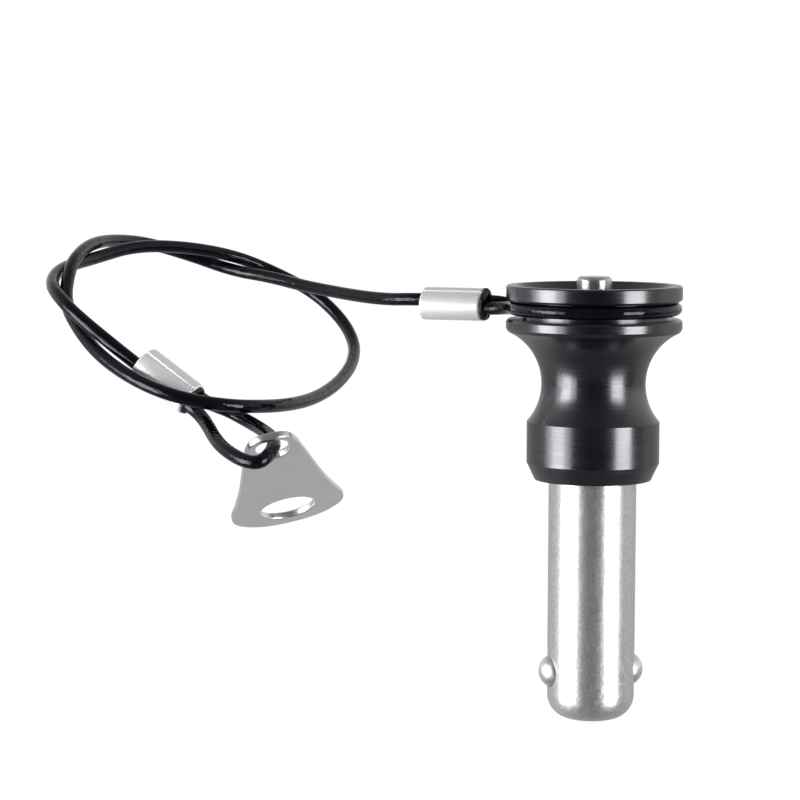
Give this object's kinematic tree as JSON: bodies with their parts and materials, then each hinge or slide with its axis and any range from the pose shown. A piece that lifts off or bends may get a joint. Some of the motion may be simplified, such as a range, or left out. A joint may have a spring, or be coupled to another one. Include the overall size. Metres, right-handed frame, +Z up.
{
  "type": "ball lock pin",
  "caption": "Quick-release ball lock pin: straight shank with locking balls, waisted round handle with a push button, and a coated wire lanyard with a bell-shaped tag.",
  "frame": {"origin": "on the pin's axis, at the handle's underside where the shoulder meets the work", "axes": "+Z up the pin's axis to the button, -Z down the shank to the tip, -X towards the lanyard, -Y towards the viewer"},
  "size_m": [0.0725, 0.0564, 0.0546],
  "materials": {
    "handle_black": "black anodised, satin, fine turning lines",
    "shank_steel": "ground stainless steel",
    "spindle_steel": "turned stainless steel",
    "spring_steel": "spring wire",
    "ball_steel": "polished ball",
    "cable_black": "glossy black coating over wire rope",
    "ferrule_aluminium": "bright drawn aluminium",
    "tag_steel": "tumbled stainless steel with a bright rim"
  },
  "bodies": {
    "pin_body": {"handle": "handle_black", "shank": "shank_steel"},
    "spindle_body": {"spindle": "spindle_steel", "return_spring": "spring_steel"},
    "left_ball_body": {"ball_left": "ball_steel"},
    "right_ball_body": {"ball_right": "ball_steel"},
    "lanyard_body": {"lanyard_cable": "cable_black", "ferrule_handle_end": "ferrule_aluminium", "ferrule_tag_end": "ferrule_aluminium"},
    "tag_body": {"tag_plate": "tag_steel"}
  },
  "joints": [
    {"name": "button_press", "type": "slide", "parent": "pin_body", "child": "spindle_body", "axis": [0, 0, -1], "range_m": [0, 0.0028], "stiffness_N_per_m": 960, "springref_m": -0.003, "deforming": ["return_spring"]},
    {"name": "ball_left_retract", "type": "slide", "parent": "pin_body", "child": "left_ball_body", "axis": [0.9848, 0.1736, 0], "range_m": [0, 0.00113]},
    {"name": "ball_right_retract", "type": "slide", "parent": "pin_body", "child": "right_ball_body", "axis": [-0.9848, -0.1736, 0], "range_m": [0, 0.00113]},
    {"name": "lanyard_swivel", "type": "hinge", "parent": "pin_body", "child": "lanyard_body", "pos_m": [0, 0, 0.0195], "axis": [0, 0, 1], "continuous": true},
    {"name": "tag_swing", "type": "hinge", "parent": "lanyard_body", "child": "tag_body", "pos_m": [-0.0354, -0.0206, 0.006], "axis": [0.1013, 0.9621, 0.2532], "range_deg": [-150, 34]}
  ],
  "couplings": [
    {"joint": "ball_left_retract", "follows": "button_press", "ratio": 0.4},
    {"joint": "ball_right_retract", "follows": "button_press", "ratio": 0.4}
  ]
}
